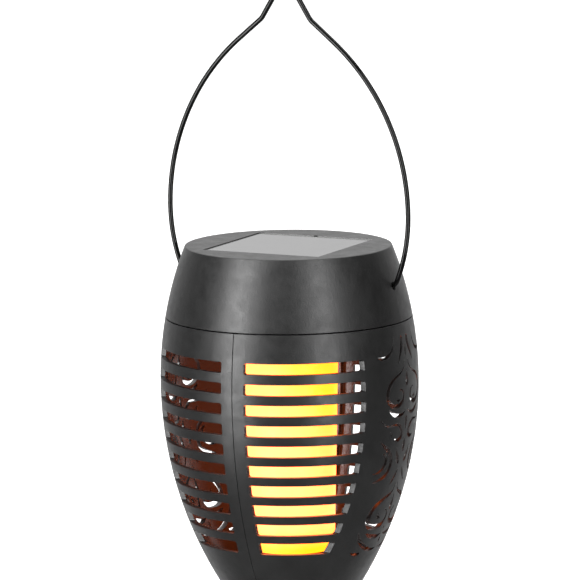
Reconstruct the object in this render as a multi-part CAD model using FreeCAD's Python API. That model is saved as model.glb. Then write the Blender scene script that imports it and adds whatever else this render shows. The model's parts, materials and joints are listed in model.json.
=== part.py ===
import FreeCAD, Part
import math
import os

from FreeCAD import Vector

# Hanging solar garden light: a black barrel-shaped lantern with a flickering-flame tube inside.
# Millimetres, +Z up, origin at the centre of the base's underside. The wire bail's pivots lie on
# the X axis and the seams of the two-part cage lie on the Y axis.

# Barrel outline: two arcs that are tangent to each other at the belly
BELLY_R = 61.5
BELLY_Z = 105.15
UPPER_ARC_R = 175.0
LOWER_ARC_R = 187.5
WALL = 2.3
TOP_Z = 169.7
CEILING_Z = TOP_Z - WALL
RIM_FILLET_R = 0.5

# Heights of the parts that make the barrel, and the rings that stand in the cage's mouth
BASE_TOP_Z = 3.0
CAGE_BOTTOM_Z = 3.2
CAGE_TOP_Z = 135.7
SKIRT_Z = 136.3
FLOOR_THICK = 2.2
FLOOR_HOLE_R = 14.0
FLOOR_Z = CAGE_BOTTOM_Z + FLOOR_THICK
MOUTH_ROOT_R = 58.2
LEDGE_R = 54.9
LEDGE_THICK = 2.0
LIP_R = 56.2

# Seam between the halves. Each half carries a tongue and an inner rib on one seam, and has a
# rebate on the other seam that takes the other half's.
SEAM_HALF_GAP = 0.15
TONGUE_INSET = 1.2
TONGUE_X = (-1.2, 1.0)
SEAM_RIB_X = (-1.2, 0.3)
SEAM_RIB_DEPTH = 3.0
SEAM_RIB_TOP_Z = 125.5
REBATE_INSET = 1.05
REBATE_X = (-1.0, 1.4)
REBATE_DEPTH = 6.0
TAB_X = (-9.0, 8.0)
TAB_ROOT_X = 1.0
TAB_HEIGHTS = ((21.5, 28.2), (123.4, 127.0))
TAB_GAP = 0.12
TAB_DEPTH = 1.8
TAB_ROOT = 0.6

# Slatted windows: ten slots each side of a seam, cut square to X and Y, a little taller each row down
SLOT_COUNT = 10
SLOT_PITCH = 9.75
SLOT_HEIGHT = 5.2
SLOT_GROWTH = 0.08
SLOT_TOP_Z = 122.4
SLOT_SEAM_X = 5.8
SLOT_SIDE_Y = 29.5
SLOT_CORNER_R = 0.9
CUT_REACH = 80.0

# Twist lock between the head and the cage
TWIST_DEG = 18.0
LUG_COUNT = 3
LUG_FIRST_DEG = 30.0
LUG_WIDTH_DEG = 14.0
LUG_CLEAR_DEG = 1.0
LUG_Z = (126.0, 129.2)
LUG_R = 54.2
STOP_WIDTH_DEG = 2.0
STOP_CLEAR_DEG = 0.7
STOP_DROP = 3.3
STOP_R = LUG_R + 0.3
NOTCH_R = LUG_R + 0.5
SPIGOT_R = 50.5
SPIGOT_WALL = 2.2
SPIGOT_BOTTOM_Z = 124.5
SHOULDER_R = 54.0
SHOULDER_GAP = 0.15
COLLAR_BORE_R = 51.0
COLLAR_R = 56.9
COLLAR_Z = 129.5
COLLAR_THICK = 3.0
COLLAR_TOP_Z = COLLAR_Z + COLLAR_THICK
LIP_GAP = 0.1

# Foot: recess under it, drain holes, and the screws that hold it to posts in the cage
RECESS_R = 22.0
RECESS_DEEP = 0.8
DRAIN_R = 4.0
SMALL_DRAIN_COUNT = 6
SMALL_DRAIN_R = 1.6
SMALL_DRAIN_CIRCLE_R = 9.5
BASE_SCREW_X = 16.5
BASE_SCREW_Y = 11.0
BASE_SCREW_SEAT_Z = 2.0
BASE_SCREW_LENGTH = 8.0
BASE_POST_R = 3.2
BASE_POST_TOP_Z = 12.0

# Head tray, which closes the cap from below
TRAY_Z = 137.0
TRAY_THICK = 2.2
TRAY_R = 55.6
TRAY_TOP_Z = TRAY_Z + TRAY_THICK
SEAL_R = (51.6, 54.8)
SEAL_THICK = 1.0
SEAL_RIB_R = 51.0
SEAL_RIB_THICK = 2.0
BOSS_CIRCLE_R = 45.5
BOSS_ANGLES = (60.0, 120.0, 240.0, 300.0)
BOSS_R = 3.5
BOSS_RIB_R = (47.5, 56.0)
BOSS_RIB_HALF = 0.8
BOSS_RIB_Z = TRAY_TOP_Z + 5.0
HEAD_SCREW_LENGTH = 10.0

# Solar panel in its square pocket in the cap
PANEL_SIDE = 60.0
POCKET_SIDE = 60.4
POCKET_FLOOR_Z = TOP_Z - 3.6
POCKET_FLOOR_THICK = 1.8
GASKET_THICK = 0.6
GASKET_WIDTH = 5.0
BOARD_THICK = 1.0
CELL_THICK = 0.25
RIBBON_THICK = 0.1
RIBBON_HALF = 0.6
RESIN_TOP_Z = TOP_Z - 0.4
CELL_COUNT = 4
CELL_GAP = 0.6
CELL_MARGIN = 1.5
LEAD_WINDOW_X = 8.0
LEAD_WINDOW_Y = 4.0
PRY_NOTCH_R = 0.9
PRY_NOTCH_OUT = 0.3
PRY_NOTCH_DEEP = 1.4

# Bail: steel wire, two arcs each side, a shoulder bend and a rounded peak
WIRE_R = 1.2
PIVOT_Z = 153.6
BAIL_HOLE_R = 2.0
BAIL_HOLE_Z = PIVOT_Z - 0.7
BEARING_R = 4.4
BEARING_X = (50.3, 56.0)
BAIL_HOLE_X = (47.3, 59.0)
BAIL_WIDE_X = 62.6
BAIL_WIDE_Z = 186.0
BAIL_LEG_ARC_R = 82.0
BAIL_SIDE_ARC_R = 105.5
BAIL_SHOULDER_Z = 277.0
BAIL_SHOULDER_RUN = 10.0
BAIL_PEAK_SLOPE_DEG = 58.5
BAIL_PEAK_R = 4.0
BAIL_SHOULDER_R = 7.0
BAIL_ELBOW_R = 2.6
BAIL_ELBOW_RUN = 3.5
BAIL_TAIL_X = 46.1
BAIL_TAIL_TOP = 6.5
BAIL_TAIL_R = 2.4

# Flame tube, slightly conical and narrower below, and the LED column in it
TUBE_TOP_R = 23.7
TUBE_BOTTOM_R = 20.8
TUBE_WALL = 1.2
TUBE_BOTTOM_Z = 24.0
TUBE_TOP_Z = 136.8
TUBE_GAP = 0.15
SOCKET_DEEP = 11.0
SOCKET_R = 26.2
END_CAP_THICK = 1.8
END_CAP_RIM_H = 5.0
END_CAP_RIM_WIDTH = 2.0
END_CAP_PEG_H = 3.0
END_CAP_PEG_GAP = 0.2
CORE_R = 10.0
CORE_BORE_R = 8.0
CORE_BOTTOM_Z = 30.0
CORE_FLANGE_R = 19.0
CORE_FLANGE_THICK = 2.2
CORE_SCREW_Y = 14.5
CORE_SCREW_LENGTH = 8.0
CORE_BOSS_R = 3.2
CORE_BOSS_TOP_Z = TRAY_TOP_Z + 5.0
FLEX_THICK = 0.3
FLEX_Z = (32.0, 131.0)
LED_ROWS = 8
LED_COLUMNS = 12
LED_FIRST_Z = 38.0
LED_PITCH = 12.0
LED_SIZE = (1.7, 2.8, 3.5)
LED_SUNK = 0.05

# Rechargeable cell of the 14500 size, in its holder beside the tube
CELL_R = 7.0
CELL_Y = (-24.0, 25.2)
CELL_AXIS = (32.8, 148.2)
CELL_EDGE_R = 0.7
NUB_R = 2.8
NUB_H = 1.3
HOLDER_X = (24.2, 41.4)
HOLDER_Y = (-29.6, 28.5)
HOLDER_TOP_Z = 150.6
HOLDER_SIDE = 1.4
HOLDER_END = 1.6
HOLDER_FLOOR_Z = TRAY_TOP_Z + 1.6
HOLDER_RELIEF_R = 9.0
HOLDER_RELIEF_UP = 3.0
CONTACT_HALF = 4.5
CONTACT_THICK = 0.4
CONTACT_UP = 1.0
SPRING_R = 4.4
SPRING_WIRE_R = 0.35
SPRING_PITCH = 1.1
SPRING_LENGTH = 2.75
SPRING_TAPER_DEG = -18.0
SPRING_START = 0.7

# Control board, what is soldered to it, and its push switch
PCB_X = (-44.0, -17.0)
PCB_Y = (-22.0, 22.0)
PCB_Z = 146.0
PCB_THICK = 1.6
PCB_TOP_Z = PCB_Z + PCB_THICK
PCB_POST_R = 2.4
PCB_POST_INSET = 3.2
PCB_HOLE_R = 0.9
PCB_SCREW_HEAD_R = 1.8
PCB_SCREW_HEAD_H = 1.2
PCB_SCREW_LENGTH = 4.0
PCB_SCREW_SLOT = (0.25, 0.5)
CHIP_AT = (-35.5, 0.0)
CHIP_HALF = 2.5
CHIP_H = 1.6
COIL_AT = (-33.0, 13.0)
COIL_RADII = (1.4, 3.6)
COIL_H = 3.4
CAN_AT = (-33.0, -12.0)
CAN_R = 3.0
CAN_H = 7.5
RESISTOR_X = (-41.0, -30.0)
RESISTOR_Y = (-8.0, -5.0, 5.0, 8.0)
RESISTOR_SIZE = (2.0, 1.2, 0.6)
CONNECTOR_X = -22.0
CONNECTOR_Y = (-12.0, 0.0, 12.0)
CONNECTOR_HALF = (2.0, 3.0)
CONNECTOR_TOP_Z = PCB_TOP_Z + 5.0
PIN_HALF_PITCH = 1.25
LEAD_R = 0.6
LEAD_HOLE_R = 0.8
LED_LEAD_Z = 124.0
BUTTON_X = -37.0
BUTTON_R = 4.2
BUTTON_HOLE_R = 4.4
BUTTON_BOTTOM_Z = TRAY_Z - 1.6
BUTTON_EDGE_R = 0.6
BUTTON_FLANGE_R = 5.4
BUTTON_FLANGE_Z = (TRAY_TOP_Z + 0.2, TRAY_TOP_Z + 1.4)
BUTTON_STEM_R = 1.75
BUTTON_STEM_TOP_Z = PCB_Z - 2.6
BUTTON_GUARD_R = (5.7, 6.9)
SWITCH_HALF = 3.5
SWITCH_H = 3.6
SWITCH_BORE_R = 1.9
SWITCH_ROOF = 1.2

# Fasteners
SCREW_R = 1.3
SCREW_HEAD_R = 2.8
SCREW_HEAD_H = 1.55
SCREW_EDGE_R = 0.5
SCREW_HOLE_R = 1.6
SCREW_SEAT_GAP = 0.4
CROSS_HALF = (1.6, 0.35)
CROSS_DEEP = 0.9

# How far a cutting shape runs past a face, how far a feature runs into what it grows from, and
# the tolerance used to pick edges
PAST = 1.0
ROOT = 0.5
TINY = 1e-6

Z_AXIS = Vector(0, 0, 1)
ORIGIN = Vector(0, 0, 0)

# The scroll cut-outs: the route (y, z) of each stroke's centre line, its greatest width, and the
# share of its length at which it is widest. Every stroke is cut again as its mirror image in y.
SCROLL_STROKES = (
    (((-9.9, 130.4), (-10.4, 127.0), (-13.2, 123.2), (-17.2, 121.4), (-21.7, 122.3)), 1.8, 0.70),
    (((-2.9, 130.2), (-3.0, 127.0), (-4.8, 122.5), (-7.4, 117.6)), 2.5, 0.25),
    (((-1.6, 118.4), (-5.4, 113.2), (-12.4, 110.2), (-16.3, 105.6), (-16.2, 101.2), (-12.6, 98.0),
      (-7.4, 97.7), (-3.7, 100.6), (-4.2, 103.8), (-7.4, 104.8)), 2.3, 0.62),
    (((-9.9, 101.2), (-8.4, 100.0), (-6.9, 100.4)), 1.3, 0.50),
    (((-15.2, 96.4), (-11.6, 93.8), (-7.0, 92.6), (-1.3, 94.6)), 2.0, 0.40),
    (((-20.9, 92.7), (-18.2, 89.9), (-14.0, 88.3), (-8.6, 88.6), (-4.8, 86.2), (-3.7, 82.9),
      (-6.1, 81.0), (-9.7, 82.0)), 2.1, 0.75),
    (((-13.6, 85.6), (-12.6, 84.2), (-12.8, 82.4)), 1.2, 0.50),
    (((-19.6, 81.9), (-16.0, 78.7), (-11.8, 75.0), (-10.2, 70.0), (-12.2, 65.2), (-16.4, 62.9),
      (-20.7, 61.9)), 2.4, 0.50),
    (((-17.2, 75.4), (-14.6, 73.6), (-14.2, 71.2), (-16.4, 67.8), (-21.4, 66.4)), 1.9, 0.30),
    (((-7.0, 76.9), (-5.3, 73.2), (-2.9, 68.9)), 2.8, 0.72),
    (((-2.1, 66.6), (-4.0, 63.3), (-7.4, 59.4)), 1.4, 0.40),
    (((-1.0, 59.6), (-3.4, 55.0), (-9.2, 52.6), (-14.6, 49.2), (-16.6, 43.8), (-13.8, 39.7),
      (-8.6, 38.8), (-3.7, 39.9), (-2.2, 43.0), (-5.0, 46.8)), 2.9, 0.58),
    (((-10.6, 46.2), (-9.6, 43.8), (-7.6, 43.0)), 1.5, 0.50),
    (((-14.4, 36.2), (-10.2, 34.3), (-5.6, 33.4), (-1.3, 34.2)), 2.2, 0.45),
    (((-19.2, 37.4), (-16.4, 32.6), (-11.2, 28.9), (-5.8, 27.0), (-1.4, 27.2)), 2.2, 0.45),
    (((-19.0, 27.2), (-16.0, 26.0), (-12.6, 26.4)), 1.7, 0.60),
)

# Drops on the centre line of the scroll panel: top z, bottom z, width and widest share
SCROLL_DROPS = (
    (126.4, 120.4, 1.8, 0.70),
    (114.2, 106.0, 3.0, 0.72),
    (91.6, 85.4, 2.4, 0.30),
    (80.8, 74.2, 2.6, 0.50),
    (53.6, 46.0, 2.8, 0.70),
    (37.8, 36.4, 1.0, 0.50),
    (32.2, 29.6, 1.6, 0.50),
)
STROKE_SIDES = 8
SIDES_PER_POINT = 3
SWELL_POWER = 0.8
TIP_HALF_WIDTH = 0.2
SCROLL_DEPTH = (20.0, 70.0)


# ---- small shape helpers ----

def box(x, y, z):
    """A box between the two values of each of x, y and z."""
    return Part.makeBox(x[1] - x[0], y[1] - y[0], z[1] - z[0], Vector(x[0], y[0], z[0]))


def post(x, y, r, z0, z1):
    """An upright cylinder."""
    return Part.makeCylinder(r, z1 - z0, Vector(x, y, z0), Z_AXIS)


def rod_x(x0, x1, y, z, r):
    """A cylinder along X."""
    return Part.makeCylinder(r, x1 - x0, Vector(x0, y, z), Vector(1, 0, 0))


def rod_y(y0, y1, x, z, r):
    """A cylinder along Y."""
    return Part.makeCylinder(r, y1 - y0, Vector(x, y0, z), Vector(0, 1, 0))


def turn(edges, sweep=360.0, start=0.0):
    """Revolves a closed outline in the XZ plane about Z."""
    face = Part.Face(Part.Wire(Part.__sortEdges__(edges)))
    if start:
        face.rotate(ORIGIN, Z_AXIS, start)
    return face.revolve(ORIGIN, Z_AXIS, sweep)


def line(a, b):
    """An edge between two (r, z) points."""
    return Part.makeLine(Vector(a[0], 0, a[1]), Vector(b[0], 0, b[1]))


def turned(points, sweep=360.0, start=0.0):
    """Revolves a polygon of (r, z) points about Z."""
    edges = [line(a, b) for a, b in zip(points, points[1:] + points[:1])]
    return turn(edges, sweep, start)


def ring(r_in, r_out, z0, z1, sweep=360.0, start=0.0):
    """A flat-ended ring, or a sector of one."""
    return turned([(r_in, z0), (r_out, z0), (r_out, z1), (r_in, z1)], sweep, start)


def polar(radius, degrees):
    """The x and y of a point at that radius and angle."""
    return radius * math.cos(math.radians(degrees)), radius * math.sin(math.radians(degrees))


def fuse(shapes):
    """One solid from several that overlap or touch."""
    joined = shapes[0].fuse(shapes[1:]) if len(shapes) > 1 else shapes[0]
    return joined.removeSplitter()


def export(name, shape):
    """Writes one node's STEP file."""
    solids = shape.Solids
    bad = [s for s in solids if not s.isValid() or s.Volume <= 0]
    print(f"{name}: {len(solids)} solid(s), {sum(s.Volume for s in solids):.0f} mm3"
          + (f", {len(bad)} BAD" if bad else ""))
    made = solids[0] if len(solids) == 1 else Part.makeCompound(solids)
    made.exportStep(f"parts/{name}.step")


# ---- the barrel outline ----

def barrel_r(z, inset=0.0):
    """The barrel's radius at height z, measured inset below its outer skin."""
    arc_r = UPPER_ARC_R if z > BELLY_Z else LOWER_ARC_R
    return BELLY_R - arc_r + math.sqrt((arc_r - inset) ** 2 - (z - BELLY_Z) ** 2)


def barrel_edges(z0, z1, inset):
    """The arcs of the barrel's outline from z0 up to z1."""
    stops = [z0, BELLY_Z, z1] if z0 < BELLY_Z < z1 else [z0, z1]
    edges = []
    for a, b in zip(stops, stops[1:]):
        points = [Vector(barrel_r(z, inset), 0, z) for z in (a, (a + b) / 2, b)]
        edges.append(Part.Arc(*points).toShape())
    return edges


def barrel_skin(z0, z1, outer=0.0, inner=WALL, sweep=360.0, start=0.0):
    """The layer of the barrel's wall between two insets."""
    ends = [line((barrel_r(z, outer), z), (barrel_r(z, inner), z)) for z in (z0, z1)]
    return turn(barrel_edges(z0, z1, outer) + barrel_edges(z0, z1, inner) + ends, sweep, start)


def barrel_core(z0, z1, inset=0.0):
    """Everything inside the barrel's outline between two heights."""
    ends = [line((0, z0), (barrel_r(z0, inset), z0)), line((0, z1), (barrel_r(z1, inset), z1))]
    return turn(barrel_edges(z0, z1, inset) + ends + [line((0, z0), (0, z1))])


# ---- fasteners and leads ----

def screw(x, y, seat_z, length):
    """A pan-head screw driven upwards: its head lies under seat_z and its shank above."""
    low = seat_z - SCREW_HEAD_H
    head = post(x, y, SCREW_HEAD_R, low, seat_z)
    rim = [e for e in head.Edges if abs(e.BoundBox.ZMax - low) < TINY]
    made = head.makeFillet(SCREW_EDGE_R, rim).fuse(post(x, y, SCREW_R, seat_z - ROOT, seat_z + length))
    cross_z = (low - PAST, low + CROSS_DEEP)
    for half_x, half_y in (CROSS_HALF, CROSS_HALF[::-1]):
        made = made.cut(box((x - half_x, x + half_x), (y - half_y, y + half_y), cross_z))
    return made.removeSplitter()


def rounded_route(points, share=0.45):
    """A wire of straight runs joined by tangent arcs, each as large as its two runs allow."""
    points = [Vector(*p) for p in points]
    edges = []
    last = points[0]
    for a, b, c in zip(points, points[1:], points[2:]):
        back, on = (a - b), (c - b)
        reach = share * min(back.Length, on.Length)
        start = b + back.normalize() * reach
        end = b + on.normalize() * reach
        half_turn = (math.pi - back.getAngle(on)) / 2
        radius = reach / math.tan(half_turn)
        to_middle = (back + on).normalize()
        middle = b + to_middle * (radius / math.cos(half_turn) - radius)
        edges += [Part.makeLine(last, start), Part.Arc(start, middle, end).toShape()]
        last = end
    edges.append(Part.makeLine(last, points[-1]))
    return Part.Wire(edges)


def swept(wire, radius):
    """A round wire or lead of that radius along a route."""
    first = wire.Edges[0]
    start = first.valueAt(first.FirstParameter)
    tangent = first.tangentAt(first.FirstParameter)
    section = Part.Wire(Part.makeCircle(radius, start, tangent))
    return wire.makePipeShell([section], True, False)


# ---- the cage ----

def stroke(points, width, widest):
    """A tapered cut-out that follows a curve in the YZ plane, with a small blunt tip at each end."""
    spine = Part.BSplineCurve()
    spine.interpolate([Vector(SCROLL_DEPTH[0], y, z) for y, z in points])
    first, last = spine.FirstParameter, spine.LastParameter
    skew = math.log(0.5) / math.log(widest)
    count = STROKE_SIDES + SIDES_PER_POINT * (len(points) - 3)
    sides = ([], [])
    for i in range(count + 1):
        share = i / count
        at = first + share * (last - first)
        centre, along = spine.value(at), spine.tangent(at)[0]
        across = Vector(0, -along.z, along.y).normalize()
        swell = math.sin(math.pi * share ** skew) ** SWELL_POWER if 0 < i < count else 0
        half = TIP_HALF_WIDTH + (width / 2 - TIP_HALF_WIDTH) * swell
        sides[0].append(centre + across * half)
        sides[1].append(centre - across * half)
    edges = []
    for side in sides:
        curve = Part.BSplineCurve()
        curve.interpolate(side)
        edges.append(curve.toShape())
    edges += [Part.makeLine(sides[0][end], sides[1][end]) for end in (0, -1)]
    face = Part.Face(Part.Wire(Part.__sortEdges__(edges)))
    return face.extrude(Vector(SCROLL_DEPTH[1] - SCROLL_DEPTH[0], 0, 0))


def scroll_tools():
    """All the cut-outs of one scroll panel."""
    tools = []
    for points, width, widest in SCROLL_STROKES:
        tools.append(stroke(points, width, widest))
        tools.append(stroke([(-y, z) for y, z in points], width, widest))
    for top, bottom, width, widest in SCROLL_DROPS:
        route = [(0.0, top + (bottom - top) * share) for share in (0.0, 0.5, 1.0)]
        tools.append(stroke(route, width, widest))
    return tools


def slot_tools(side):
    """The ten slots of the slatted window on the side of y that side (1 or -1) gives."""
    tools = []
    for row in range(SLOT_COUNT):
        top = SLOT_TOP_Z - row * SLOT_PITCH
        height = SLOT_HEIGHT + row * SLOT_GROWTH
        y = sorted((side * SLOT_SIDE_Y, side * CUT_REACH))
        slot = box((SLOT_SEAM_X, CUT_REACH), y, (top - height, top))
        corners = [e for e in slot.Edges if is_slot_corner(e, side)]
        tools.append(slot.makeFillet(SLOT_CORNER_R, corners))
    return tools


def is_slot_corner(edge, side):
    """Whether an edge of a slot's box is one of the four that end the slot."""
    b = edge.BoundBox
    at_seam = abs(b.XMax - SLOT_SEAM_X) < TINY and b.YLength > TINY
    at_side = abs((b.YMin + b.YMax) / 2 - side * SLOT_SIDE_Y) < TINY and b.XLength > TINY
    return at_seam or at_side


def seam_tabs():
    """The tongues on the +Y seam that lap inside the other half, at the foot and at the top."""
    tabs = []
    for heights in TAB_HEIGHTS:
        band = barrel_skin(*heights, WALL + TAB_GAP, WALL + TAB_DEPTH)
        lap = band.common(box(TAB_X, (0, CUT_REACH), heights))
        thick_band = barrel_skin(*heights, WALL - TAB_ROOT, WALL + TAB_DEPTH)
        tabs.append(lap.fuse(thick_band.common(box((TAB_ROOT_X, TAB_X[1]), (0, CUT_REACH), heights))))
    return tabs


def half_ring(r_in, r_out, z0, z1):
    """The +X half of a ring."""
    return ring(r_in, r_out, z0, z1, 180.0, -90.0)


def cage_half():
    """The half of the cage on the +X side: shell, floor, collar groove, posts, seam and cut-outs."""
    z = (CAGE_BOTTOM_Z, CAGE_TOP_Z)
    places = [(BASE_SCREW_X, y) for y in (-BASE_SCREW_Y, BASE_SCREW_Y)]
    half = fuse([barrel_skin(*z, sweep=180.0, start=-90.0),
                 half_ring(FLOOR_HOLE_R, barrel_r(CAGE_BOTTOM_Z, WALL) + ROOT, CAGE_BOTTOM_Z, FLOOR_Z),
                 half_ring(LEDGE_R, MOUTH_ROOT_R, COLLAR_Z - LEDGE_THICK, COLLAR_Z),
                 half_ring(LIP_R, MOUTH_ROOT_R, COLLAR_TOP_Z + LIP_GAP, CAGE_TOP_Z)]
                + [post(x, y, BASE_POST_R, CAGE_BOTTOM_Z, BASE_POST_TOP_Z) for x, y in places])
    half = half.cut(box((-PAST, SEAM_HALF_GAP), (-CUT_REACH, CUT_REACH), (0, TOP_Z)))
    half = half.cut([post(x, y, SCREW_R, 0, BASE_POST_TOP_Z - PAST) for x, y in places])
    tongue = barrel_skin(*z, TONGUE_INSET, WALL).common(box(TONGUE_X, (0, CUT_REACH), z))
    rib_z = (CAGE_BOTTOM_Z, SEAM_RIB_TOP_Z)
    rib = barrel_skin(*rib_z, TONGUE_INSET, WALL + SEAM_RIB_DEPTH)
    rib = rib.common(box(SEAM_RIB_X, (0, CUT_REACH), rib_z))
    rebate = barrel_skin(*z, REBATE_INSET, WALL + REBATE_DEPTH).common(box(REBATE_X, (-CUT_REACH, 0), z))
    half = fuse([half.cut(rebate), tongue, rib] + seam_tabs())
    half = half.cut(slot_tools(-1) + slot_tools(1))
    return half.cut(scroll_tools())


def locking_collar():
    """The ring in the cage's mouth: a flange with a notch and two stops for each lug of the head."""
    collar = [ring(COLLAR_BORE_R, COLLAR_R, COLLAR_Z, COLLAR_TOP_Z)]
    notches = []
    half = LUG_WIDTH_DEG / 2 + STOP_CLEAR_DEG
    stop = (COLLAR_BORE_R, STOP_R, COLLAR_Z - STOP_DROP, COLLAR_Z, STOP_WIDTH_DEG)
    notch_width = LUG_WIDTH_DEG + 2 * LUG_CLEAR_DEG
    for i in range(LUG_COUNT):
        lug = LUG_FIRST_DEG + i * 360.0 / LUG_COUNT
        collar.append(ring(*stop, lug - half - STOP_WIDTH_DEG))
        collar.append(ring(*stop, lug + half + TWIST_DEG))
        notches.append(ring(COLLAR_BORE_R - PAST, NOTCH_R, COLLAR_Z - ROOT, COLLAR_TOP_Z + PAST,
                            notch_width, lug + TWIST_DEG - notch_width / 2))
    return fuse(collar).cut(notches)


def base_plate():
    """The foot: closes the cage from below, with a recess, drain holes and four screw seats."""
    through = (-PAST, BASE_TOP_Z + PAST)
    cuts = [post(0, 0, RECESS_R, -PAST, RECESS_DEEP), post(0, 0, DRAIN_R, *through)]
    for i in range(SMALL_DRAIN_COUNT):
        place = polar(SMALL_DRAIN_CIRCLE_R, i * 360.0 / SMALL_DRAIN_COUNT)
        cuts.append(post(*place, SMALL_DRAIN_R, *through))
    for x, y in base_screw_places():
        cuts.append(post(x, y, SCREW_HOLE_R, *through))
        cuts.append(post(x, y, SCREW_HEAD_R + SCREW_SEAT_GAP, -PAST, BASE_SCREW_SEAT_Z))
    return barrel_core(0.0, BASE_TOP_Z).cut(cuts)


def base_screw_places():
    """Where the four screws of the base stand."""
    return [(x, y) for x in (-BASE_SCREW_X, BASE_SCREW_X) for y in (-BASE_SCREW_Y, BASE_SCREW_Y)]


def make_cage():
    """The nodes of the cage body."""
    half = cage_half()
    other = half.copy()
    other.rotate(ORIGIN, Z_AXIS, 180.0)
    screws = [screw(x, y, BASE_SCREW_SEAT_Z, BASE_SCREW_LENGTH) for x, y in base_screw_places()]
    export("cage_half_right", half)
    export("cage_half_left", other)
    export("locking_collar", locking_collar())
    export("base_plate", base_plate())
    export("base_screws", Part.makeCompound(screws))


# ---- the cap and the solar panel ----

def cap_shell():
    """The cap: barrel skirt, flat top, panel pocket, screw bosses, seal rib and bail bearings."""
    outer = barrel_core(SKIRT_Z, TOP_Z)
    rim = [e for e in outer.Edges if abs(e.BoundBox.ZMin - TOP_Z) < TINY and e.BoundBox.XLength > BELLY_R]
    outer = outer.makeFillet(RIM_FILLET_R, rim)
    root_z = CEILING_Z + ROOT
    pocket = (-POCKET_SIDE / 2, POCKET_SIDE / 2)
    block = (pocket[0] - POCKET_FLOOR_THICK, pocket[1] + POCKET_FLOOR_THICK)
    seal_z = (TRAY_TOP_Z + SEAL_THICK, TRAY_TOP_Z + SEAL_THICK + SEAL_RIB_THICK)
    joined = [outer.cut(barrel_core(SKIRT_Z, CEILING_Z, WALL)),
              box(block, block, (POCKET_FLOOR_Z - POCKET_FLOOR_THICK, root_z)),
              ring(SEAL_RIB_R, barrel_r(seal_z[1], WALL) + ROOT, *seal_z)]
    cuts = [box(pocket, pocket, (POCKET_FLOOR_Z, TOP_Z + PAST)),
            box((-LEAD_WINDOW_X, LEAD_WINDOW_X), (-LEAD_WINDOW_Y, LEAD_WINDOW_Y), (BOSS_RIB_Z, TOP_Z)),
            post(0, pocket[1] + PRY_NOTCH_OUT, PRY_NOTCH_R, TOP_Z - PRY_NOTCH_DEEP, TOP_Z + PAST)]
    for angle in BOSS_ANGLES:
        x, y = polar(BOSS_CIRCLE_R, angle)
        rib = box(BOSS_RIB_R, (-BOSS_RIB_HALF, BOSS_RIB_HALF), (BOSS_RIB_Z, root_z))
        rib.rotate(ORIGIN, Z_AXIS, angle)
        joined += [post(x, y, BOSS_R, TRAY_TOP_Z, root_z), rib.common(outer)]
        cuts.append(post(x, y, SCREW_R, TRAY_TOP_Z - PAST, TRAY_TOP_Z + HEAD_SCREW_LENGTH))
    for side in (-1, 1):
        bearing = sorted(side * x for x in BEARING_X)
        hole = sorted(side * x for x in BAIL_HOLE_X)
        joined.append(rod_x(*bearing, 0, BAIL_HOLE_Z, BEARING_R).common(outer))
        cuts.append(rod_x(*hole, 0, BAIL_HOLE_Z, BAIL_HOLE_R))
    return fuse(joined).cut(cuts)


def solar_cells():
    """The cell strips, side by side along X, and the flat ribbons that join them."""
    side = PANEL_SIDE - 2 * CELL_MARGIN
    width = (side - CELL_GAP * (CELL_COUNT - 1)) / CELL_COUNT
    z0 = POCKET_FLOOR_Z + GASKET_THICK + BOARD_THICK
    z1 = z0 + CELL_THICK
    half = side / 2
    strips, ribbons = [], []
    for i in range(CELL_COUNT):
        x0 = -half + i * (width + CELL_GAP)
        middle = x0 + width / 2
        ribbon_x = (middle - RIBBON_HALF, middle + RIBBON_HALF)
        strips.append(box((x0, x0 + width), (-half, half), (z0, z1)))
        ribbons.append(box(ribbon_x, (-half, half), (z1, z1 + RIBBON_THICK)))
    return strips, ribbons


def make_panel():
    """The nodes of the solar panel, from the gasket up."""
    half = PANEL_SIDE / 2
    hole = half - GASKET_WIDTH
    gasket_top = POCKET_FLOOR_Z + GASKET_THICK
    board_top = gasket_top + BOARD_THICK
    square = ((-half, half), (-half, half))
    gasket = box(*square, (POCKET_FLOOR_Z, gasket_top))
    strips, ribbons = solar_cells()
    export("panel_gasket", gasket.cut(box((-hole, hole), (-hole, hole), (POCKET_FLOOR_Z - PAST, TOP_Z))))
    export("solar_board", box(*square, (gasket_top, board_top)))
    export("solar_cells", Part.makeCompound(strips))
    export("cell_ribbons", Part.makeCompound(ribbons))
    export("panel_resin", box(*square, (board_top, RESIN_TOP_Z)).cut(strips + ribbons))


# ---- the head tray and what stands on it ----

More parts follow.
